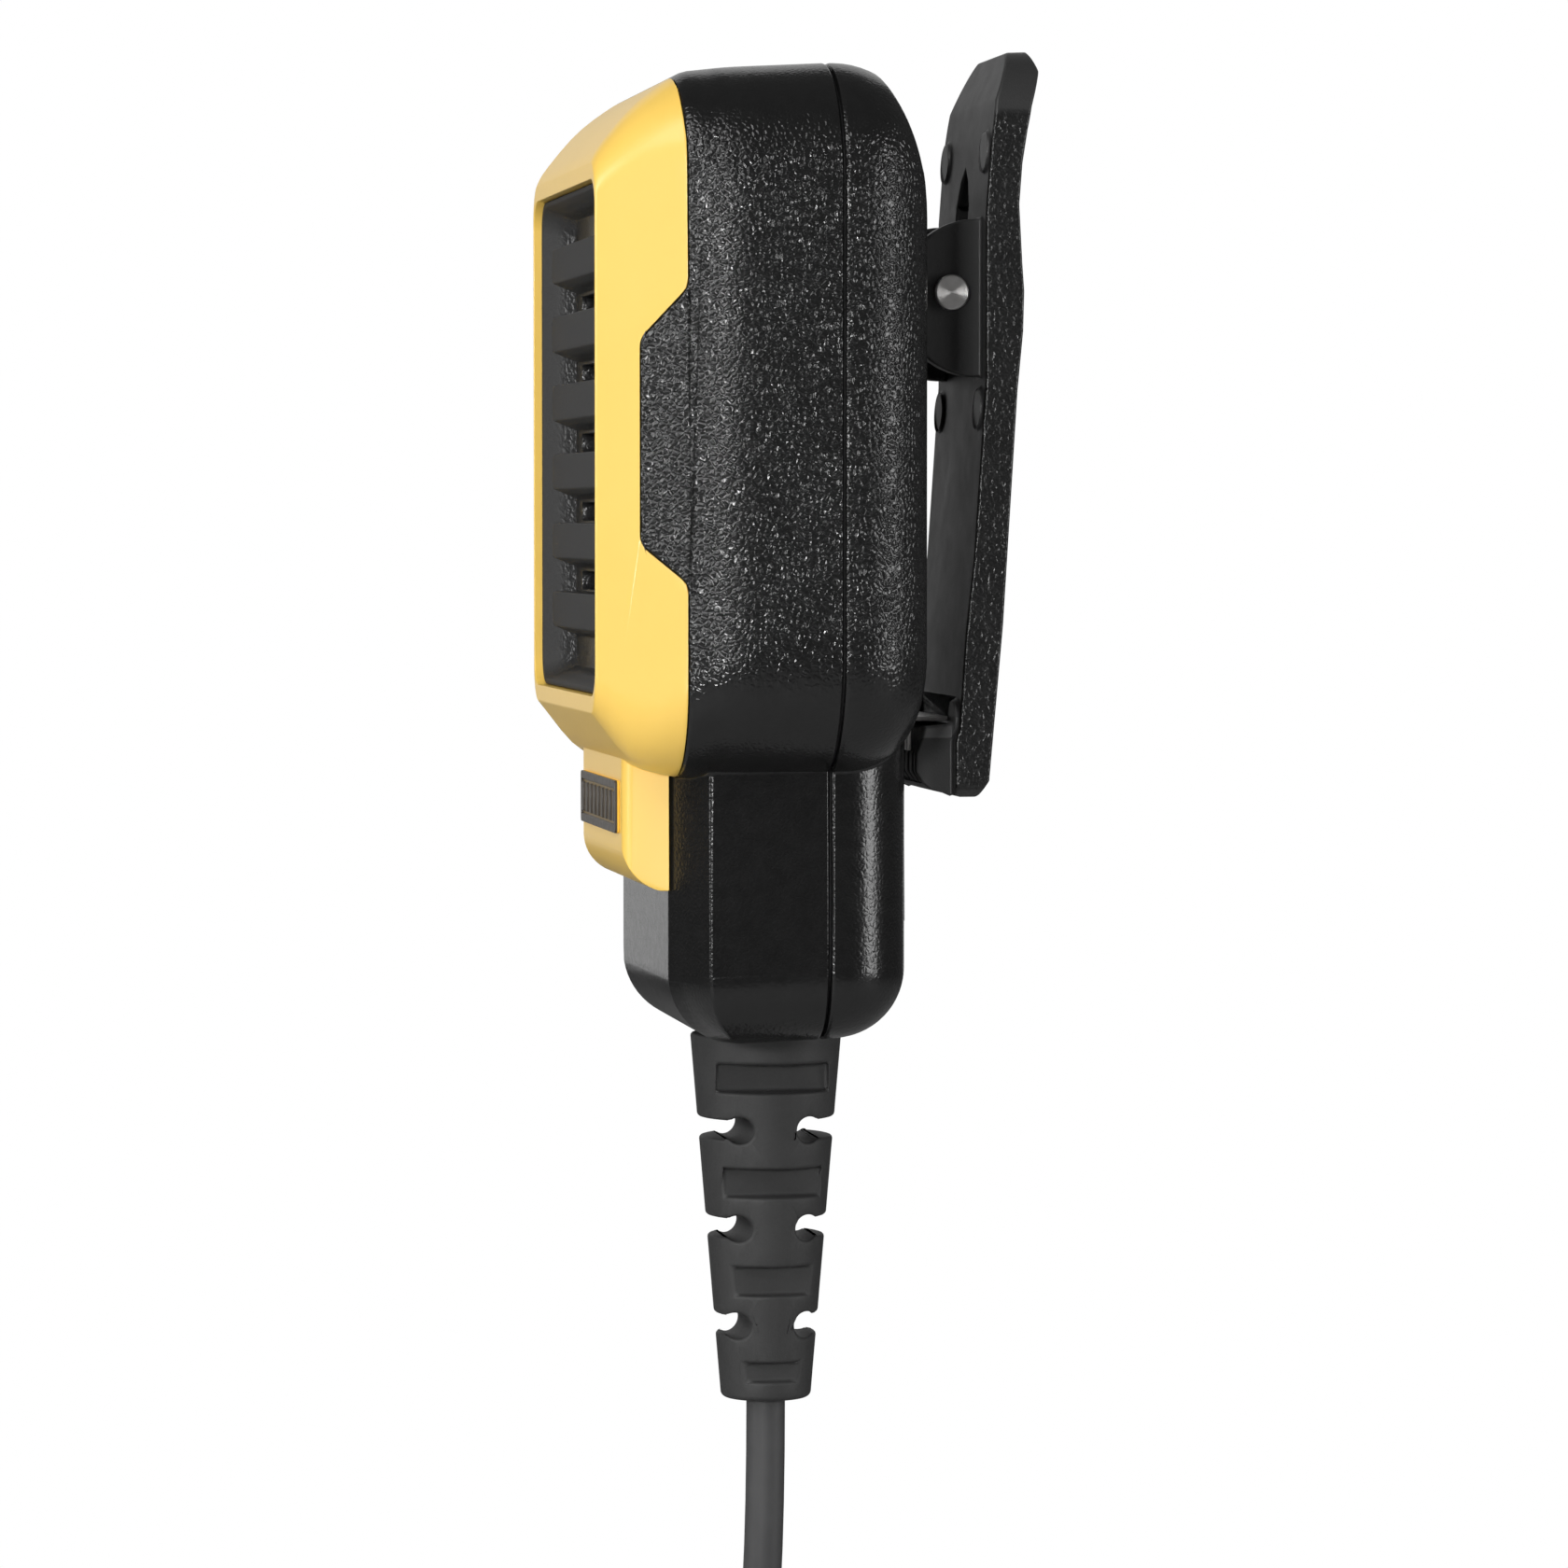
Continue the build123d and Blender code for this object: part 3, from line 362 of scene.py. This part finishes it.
# ---------------------------------------------------------------- plug
# Two-pin plug: a ribbed rubber sleeve, a moulded body with rounded edges, and two
# turned pins of nickel-plated brass, which the body is moulded round.
sleeve = worked("plug_sleeve", "plug_sleeve_ribbed", rubber, 0.0002)

moulding = Finish("plug_plastic")
spot = moulding.spot()
grain = moulding.noise(spot, 3000, 2, 0.6)
cloud = moulding.noise(spot, 300, 3)
moulding.wear(
    Base_Color=moulding.tint(cloud, (0.012, 0.012, 0.012), (0.024, 0.024, 0.024)),
    Roughness=0.40 + 0.15 * grain,
)
moulding.bump(grain, 0.00004, 0.7)
plug = worked("plug_body", "plug_moulding", moulding, 0.0003)

plating = Finish("pin_metal", Metallic=1.0)
spot = plating.spot()
smear = plating.noise(spot, 700, 3)
plating.wear(
    Base_Color=plating.tint(smear, (0.62, 0.60, 0.57), (0.78, 0.77, 0.74)),
    Roughness=0.14 + 0.16 * smear,
)
for node in ("plug_pin_large", "plug_pin_small"):
    pin = worked(node, node + "_turned", plating, 0.00008)


# ---------------------------------------------------------------- housing shells
# Front and rear shell of black polycarbonate, screwed together, with a shadow groove
# where they meet. Their leather grain fades out towards the waist and over the top.
shell = Finish("black_shell")
spot = shell.spot()
height = shell.along("Z", spot)
swirl = shell.noise(spot, 700, 2, 0.5)
pebbles = shell.noise(spot, 2000, 1.0, 0.5, 0.3)
cracks = shell.add("ShaderNodeTexVoronoi", {"feature": "DISTANCE_TO_EDGE"}, {
    "Vector": spot, "Scale": 1900,
})
waist_z = (0.004, 0.016)
brow_z = (0.0655, 0.0585)
grain = 0.16 + 0.84 * (shell.fade(height, *waist_z) * shell.fade(height, *brow_z))
relief = (0.8 * pebbles + 0.45 * shell.fade(cracks, 0.0, 0.35)) * grain
shell.wear(
    Base_Color=shell.tint(swirl, (0.006, 0.006, 0.006), (0.010, 0.010, 0.010)),
    Roughness=0.17 + 0.08 * swirl,
)
shell.bump(relief, 0.00013)
front = worked("front_shell", "front_case", shell, 0.00025, joined=False)
rear = worked("rear_shell", "rear_case", shell, 0.00025, joined=False)


# ---------------------------------------------------------------- bezel
# Satin yellow cover of ABS, fitted over the front shell: it frames the grille, runs
# down to the chin, and leaves a notch in each side for the thumb.
yellow = Finish("yellow_bezel", Coat_Weight=0.25, Coat_Roughness=0.18)
spot = yellow.spot()
cloud = yellow.noise(spot, 90, 3, 0.55)
skin = yellow.noise(spot, 3800, 2, 0.5)
yellow.wear(
    Base_Color=yellow.tint(cloud, (0.90, 0.59, 0.110), (0.94, 0.62, 0.130)),
    Roughness=0.34 + 0.08 * skin,
)
yellow.bump(skin + 2.0 * cloud, 0.000010, 0.5)
bezel = worked("bezel", "yellow_cover", yellow, 0.00012, ridge_deg=20, joined=False)


# ---------------------------------------------------------------- grille
# Black moulded tray behind the bezel, with six chamfered bars over a slotted floor.
# The bars are matt, and the floor between them is glossier and pebbled.
bars = Finish("grille_black")
spot = bars.spot()
matt_to_y, gloss_from_y = -0.0305, -0.0289
sunk = bars.fade(bars.along("Y", spot), matt_to_y, gloss_from_y)
grit = bars.noise(spot, 3600, 3, 0.7)
pebble = bars.noise(spot, 2100, 1, 0.5, 0.4)
bars.wear(
    Base_Color=bars.tint(grit, (0.012, 0.012, 0.012), (0.032, 0.032, 0.032)),
    Roughness=0.62 - 0.34 * sunk,
)
bars.bump(grit * (1 - sunk) * 0.6 + pebble * sunk * 2.2, 0.00007, 0.9)
grille = worked("grille_insert", "grille_tray", bars, 0.00016, ridge_deg=24, joined=False)


# ---------------------------------------------------------------- badge
# Plain ornament on the chin: two rails and nine upright bars, their faces
# printed dark grey on the yellow ground. It carries no letters.
emblem = Finish("badge")
spot = emblem.spot()
print_edge_y = (-0.02855, -0.02865)
printed = emblem.fade(emblem.along("Y", spot), *print_edge_y)
scuff = emblem.noise(spot, 1500, 3)
emblem.wear(
    Base_Color=emblem.tint(printed, (0.90, 0.55, 0.06), (0.050, 0.042, 0.034)),
    Roughness=0.30 + 0.20 * scuff,
)
emblem.bump(scuff, 0.00001, 0.4)
badge = worked("badge_plate", "chin_badge", emblem, 0.00006, segments=1)


# ---------------------------------------------------------------- talk key
# Push-to-talk key in the left side: soft black rubber with grip ribs. It slides in the
# side wall of the case, and its stem presses the switch on the board.
key_rubber = Finish("button_rubber")
spot = key_rubber.spot()
fine = key_rubber.noise(spot, 3600, 3, 0.6)
cloud = key_rubber.noise(spot, 350, 3)
key_rubber.wear(
    Base_Color=key_rubber.tint(cloud, (0.020, 0.020, 0.020), (0.034, 0.034, 0.034)),
    Roughness=0.58 + 0.18 * fine,
)
key_rubber.bump(fine, 0.00004, 0.7)
key = worked("ptt_button", "talk_key", key_rubber, 0.00015)


# ---------------------------------------------------------------- case screws
# Six cross-head screws of blackened steel, sunk into the rear shell. They run in the
# front shell's bosses and hold the case together.
blackened = Finish("black_steel", Metallic=1.0)
spot = blackened.spot()
smear = blackened.noise(spot, 900, 3)
blackened.wear(
    Base_Color=blackened.tint(smear, (0.10, 0.10, 0.105), (0.19, 0.19, 0.20)),
    Roughness=0.26 + 0.20 * smear,
)
screws = worked("case_screws", "case_screws_black", blackened, 0.00008, segments=1)


# ---------------------------------------------------------------- clip
# Sprung lever of glass-filled nylon on a swivel plate of the same. Its inner face is
# satin, with the round marks of the mould's ejectors, and its sides carry a grain. The
# inner face is painted a lighter grey than the sides, as painted light from the front.
nylon = Finish("clip_nylon")
spot = nylon.spot()
aside = nylon.add("ShaderNodeMath", {"operation": "ABSOLUTE"}, {0: nylon.along("X", spot)})
depth = nylon.along("Y", spot)
height = nylon.along("Z", spot)
side_edge_x = (0.0122, 0.0124)
inner_edge_y = (0.0085, 0.0083)
sides = nylon.fade(aside, *side_edge_x)
inner_face = nylon.fade(depth, *inner_edge_y)
mark_x = 0.0100
mark_rim = (0.00205, 0.00190)
marks = 0
for mark_z in (0.0603, 0.0353, 0.0049):
    off_x = aside - mark_x
    off_z = height - mark_z
    from_mark = (off_x * off_x + off_z * off_z) ** 0.5
    marks = marks + nylon.fade(from_mark, *mark_rim) * inner_face
pebbles = nylon.noise(spot, 2000, 1.0, 0.5, 0.3)
cloud = nylon.noise(spot, 330, 4, 0.6)
fibre = nylon.noise(spot, 5200, 2, 0.6)
# Painted light: the inner face gets a lighter grey than the sides, for the front light it catches.
painted_lit_face_tone = nylon.tint(sides, (0.026, 0.026, 0.026), (0.008, 0.008, 0.008))
nylon.wear(
    Base_Color=nylon.tint(marks, painted_lit_face_tone, (0.11, 0.11, 0.11)),
    Roughness=0.40 + 0.16 * cloud - 0.16 * sides,
)
nylon.bump(1.3 * pebbles * sides + 0.15 * fibre + 0.2 * cloud, 0.00012)
lever = worked("clip_lever", "clip_arm", nylon, 0.00030, segments=3)
swivel = worked("swivel_base", "clip_swivel_plate", nylon, 0.00020)


# ---------------------------------------------------------------- clip's steel parts
# The hinge pin is turned steel with rounded heads, pressed in from the side. The tooth
# plate is pressed from bright strip, and the spring is drawn wire.
turned = Finish("steel", Metallic=1.0)
spot = turned.spot()
pin_y, pin_z = 0.0046, 0.0466
off_y = turned.along("Y", spot) - pin_y
off_z = turned.along("Z", spot) - pin_z
from_axis = (off_y * off_y + off_z * off_z) ** 0.5
ring_radians_per_m = 90000
rings = turned.add("ShaderNodeMath", {"operation": "SINE"}, {0: from_axis * ring_radians_per_m})
smear = turned.noise(spot, 1600, 3)
turned.wear(
    Base_Color=turned.tint(smear, (0.42, 0.41, 0.40), (0.60, 0.59, 0.58)),
    Roughness=0.24 + 0.16 * smear,
)
turned.bump(rings, 0.000006, 0.8)
pin = worked("hinge_pin", "hinge_pin_turned", turned, 0.00010)
plate = worked("jaw_plate", "jaw_teeth", turned, 0.00012)
spring = worked("clip_spring", "clip_spring_wire", turned, 0.00004, ridge_deg=50, segments=1)


# ---------------------------------------------------------------- parts inside
# Seals, board, switch, loudspeaker, wires and swivel screw: the shells hide them, or
# nearly, so they keep their CAD shape and get the finish of their real stuff.
def coat(nodes, name, dark, light, rough, scale, relief=0.00002, **constants):
    finish = Finish(name, **constants)
    cloud = finish.noise(finish.spot(), scale, 3)
    finish.wear(Base_Color=finish.tint(cloud, dark, light), Roughness=rough + 0.15 * cloud)
    finish.bump(cloud, relief, 0.6)
    for node in nodes:
        for slot in frame["nodes"][node].material_slots:
            slot.material = finish.material


coat(["housing_seal", "speaker_gasket", "mic_boot"], "seal_silicone",
     (0.010, 0.010, 0.010), (0.020, 0.020, 0.020), 0.6, 1500)
coat(["circuit_board"], "board_mask",
     (0.006, 0.045, 0.020), (0.010, 0.070, 0.030), 0.3, 1200)
coat(["ptt_switch", "cable_clamp"], "switch_plastic",
     (0.02, 0.02, 0.02), (0.035, 0.035, 0.035), 0.4, 1800)
coat(["speaker_frame", "swivel_washer", "swivel_screw"], "inside_steel",
     (0.25, 0.25, 0.25), (0.40, 0.40, 0.40), 0.3, 1400, Metallic=1.0)
coat(["speaker_magnet", "mic_capsule"], "magnet_nickel",
     (0.45, 0.44, 0.42), (0.58, 0.57, 0.55), 0.2, 900, Metallic=1.0)
coat(["speaker_cone"], "cone_film",
     (0.05, 0.05, 0.05), (0.09, 0.09, 0.09), 0.5, 2600)
coat(["grille_cloth"], "mesh_cloth",
     (0.006, 0.006, 0.006), (0.016, 0.016, 0.016), 0.85, 5000, 0.00006)
coat(["lead_wires", "speaker_wires"], "core_copper",
     (0.75, 0.32, 0.16), (0.90, 0.42, 0.22), 0.25, 1500, Metallic=1.0)
for slot in frame["nodes"]["inner_cable"].material_slots:
    slot.material = jacket.material
